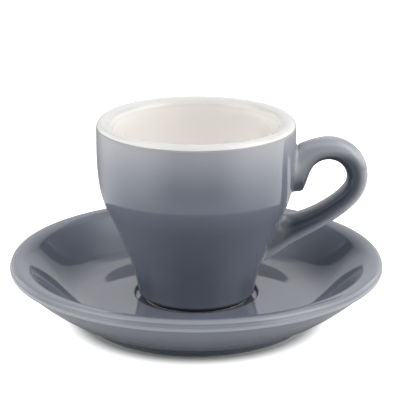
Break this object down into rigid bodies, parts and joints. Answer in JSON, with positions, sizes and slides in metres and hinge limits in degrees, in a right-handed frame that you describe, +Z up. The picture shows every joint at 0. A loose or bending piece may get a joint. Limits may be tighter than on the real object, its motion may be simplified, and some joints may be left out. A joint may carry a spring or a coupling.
{
  "type": "coffee cup with saucer",
  "caption": "Thick-walled espresso cup with a loop handle, standing in the well of a round saucer with a rolled rim. The cup lifts out.",
  "frame": {"origin": "centre of the saucer's foot ring, on the surface that it stands on", "axes": "+Z up along the axis of the saucer and the cup, +X towards the handle, right-handed"},
  "size_m": [0.118, 0.118, 0.065],
  "materials": {
    "saucer_glaze": "gloss",
    "white_porcelain": "gloss",
    "cup_glaze": "gloss",
    "handle_glaze": "gloss"
  },
  "bodies": {
    "saucer": {"saucer": "saucer_glaze"},
    "cup": {"cup_body": "white_porcelain", "cup_colour_glaze": "cup_glaze", "cup_handle": "handle_glaze"}
  },
  "joints": [
    {"name": "cup_lift", "type": "slide", "parent": "saucer", "child": "cup", "axis": [0, 0, 1], "range_m": [0, 0.04]}
  ]
}
